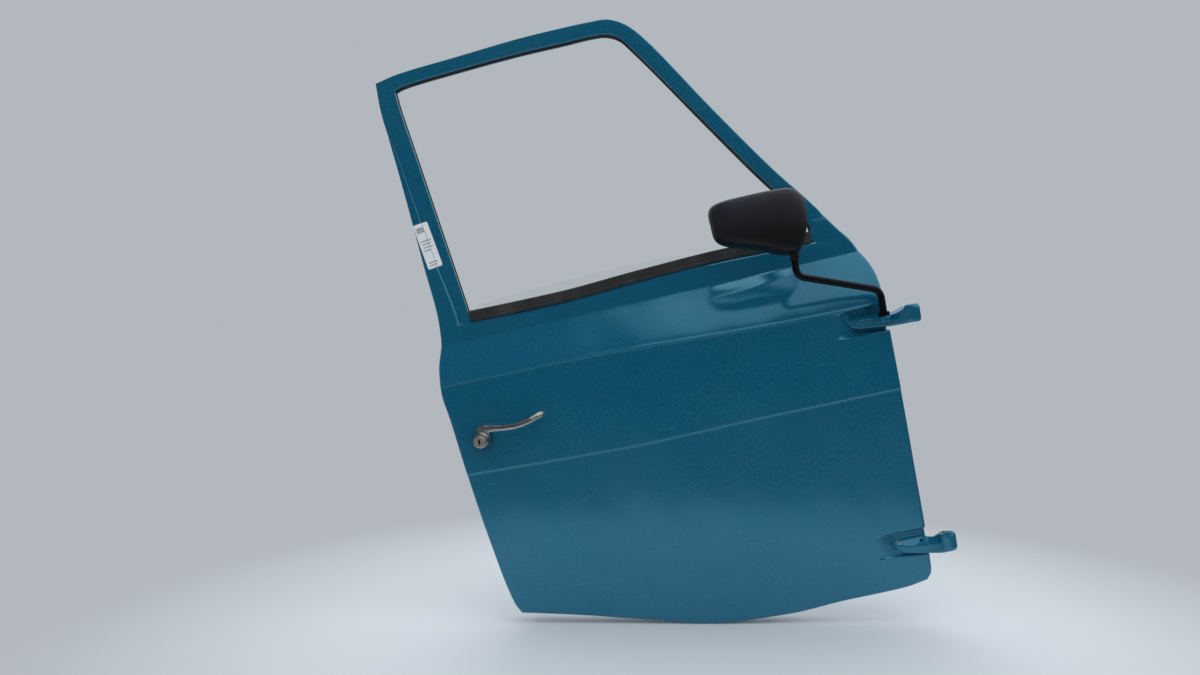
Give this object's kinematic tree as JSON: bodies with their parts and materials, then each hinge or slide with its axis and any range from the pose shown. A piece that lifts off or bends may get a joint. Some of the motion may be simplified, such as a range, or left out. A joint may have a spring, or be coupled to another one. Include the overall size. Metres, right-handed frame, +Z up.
{
  "type": "vehicle door",
  "caption": "Painted right-hand front door of a small van with window frame, winding glass, latch, turning handle, strap hinges and a mirror on a bent arm.",
  "frame": {"origin": "on the hinge axis, at mid height of the lower hinge's eye", "axes": "+X forwards along the vehicle, +Y into the vehicle (so -Y faces outwards), +Z up along the hinge axis"},
  "size_m": [0.8879, 0.2009, 1.1035],
  "materials": {
    "teal_paint": "gloss, dulled by dust and scratches",
    "black_rubber": "matt",
    "window_glass": "clear, dusty",
    "zinc_steel": "zinc plated",
    "bright_chrome": "bright",
    "black_plastic": "satin, grained",
    "black_enamel": "black, semi-gloss",
    "mirror_silver": "silvered",
    "nylon": "satin"
  },
  "bodies": {
    "door": {"outer_panel": "teal_paint", "inner_panel": "teal_paint", "window_frame": "teal_paint", "hinge_arm_upper": "teal_paint", "hinge_arm_lower": "teal_paint", "glass_run_channel": "black_rubber", "belt_seal_outer": "black_rubber", "belt_seal_inner": "black_rubber", "handle_gasket": "black_rubber", "guide_rail_rear": "zinc_steel", "guide_rail_front": "zinc_steel", "guide_bracket_rear": "zinc_steel", "guide_bracket_front": "zinc_steel", "winder_backplate": "zinc_steel", "winder_screw_1": "zinc_steel", "winder_screw_2": "zinc_steel", "winder_screw_3": "zinc_steel", "winder_screw_4": "zinc_steel", "latch_case": "zinc_steel", "hinge_plate_upper": "zinc_steel", "hinge_plate_lower": "zinc_steel", "hinge_bolt_upper_1": "zinc_steel", "hinge_bolt_upper_2": "zinc_steel", "hinge_bolt_lower_1": "zinc_steel", "hinge_bolt_lower_2": "zinc_steel", "crank_escutcheon": "black_plastic", "mirror_collar": "black_enamel"},
    "glass": {"window_glass": "window_glass", "setting_strip": "black_rubber", "setting_channel": "zinc_steel", "lift_rail": "zinc_steel"},
    "sector": {"sector_arm": "zinc_steel"},
    "roller": {"lift_roller": "nylon"},
    "winder": {"winder_pinion": "zinc_steel", "window_crank": "bright_chrome"},
    "knob": {"crank_knob": "black_plastic"},
    "handle": {"outer_handle": "bright_chrome", "square_spindle": "zinc_steel", "spindle_cam": "zinc_steel", "inner_lever": "black_plastic"},
    "lock": {"lock_barrel": "bright_chrome"},
    "fork": {"latch_fork": "zinc_steel"},
    "pawl": {"latch_pawl": "zinc_steel"},
    "mirror_support": {"mirror_arm": "black_enamel", "mirror_neck": "black_plastic"},
    "mirror_head": {"mirror_housing": "black_plastic", "mirror_glass": "mirror_silver"}
  },
  "joints": [
    {"name": "glass_slide", "type": "slide", "parent": "door", "child": "glass", "axis": [-0.168, 0, 0.9858], "range_m": [0, 0.4245]},
    {"name": "sector_turn", "type": "hinge", "parent": "door", "child": "sector", "pos_m": [-0.19997, 0.0793, 0.25931], "axis": [0, 1, 0], "range_deg": [0, 59.9]},
    {"name": "crank_turn", "type": "hinge", "parent": "door", "child": "winder", "pos_m": [-0.19997, 0.0793, 0.14131], "axis": [0, 1, 0], "range_deg": [-823, 0]},
    {"name": "roller_spin", "type": "hinge", "parent": "sector", "child": "roller", "pos_m": [-0.56414, 0.073, 0.05008], "axis": [0, 1, 0], "continuous": true},
    {"name": "knob_spin", "type": "hinge", "parent": "winder", "child": "knob", "pos_m": [-0.28598, 0.115, 0.20154], "axis": [0, 1, 0], "continuous": true},
    {"name": "handle_turn", "type": "hinge", "parent": "door", "child": "handle", "pos_m": [-0.77393, 0, 0.30098], "axis": [0, 1, 0], "range_deg": [0, 20], "stiffness_Nm_per_rad": 1, "springref_deg": -28.65},
    {"name": "lock_turn", "type": "hinge", "parent": "handle", "child": "lock", "pos_m": [-0.77393, -0.03, 0.30098], "axis": [0, -1, 0], "range_deg": [0, 90]},
    {"name": "pawl_turn", "type": "hinge", "parent": "door", "child": "pawl", "pos_m": [-0.80702, 0.054, 0.30523], "axis": [0.9888, 0, 0.1492], "range_deg": [0, 14.2]},
    {"name": "fork_turn", "type": "hinge", "parent": "door", "child": "fork", "pos_m": [-0.81209, 0.0625, 0.33885], "axis": [0.9888, 0, 0.1492], "range_deg": [-40, 0], "stiffness_Nm_per_rad": 0.05, "springref_deg": 34.38},
    {"name": "mirror_fold", "type": "hinge", "parent": "door", "child": "mirror_support", "pos_m": [-0.04859, -0.001, 0.404], "axis": [0, 0, 1], "range_deg": [0, 90]},
    {"name": "mirror_tilt", "type": "hinge", "parent": "mirror_support", "child": "mirror_head", "pos_m": [-0.19254, -0.045, 0.5343], "axis": [0, 0, 1], "range_deg": [-15, 40]}
  ],
  "couplings": [
    {"joint": "sector_turn", "follows": "glass_slide", "rad_per_m": 2.457},
    {"joint": "crank_turn", "follows": "glass_slide", "rad_per_m": -33.784},
    {"joint": "pawl_turn", "follows": "handle_turn", "ratio": 0.7}
  ]
}
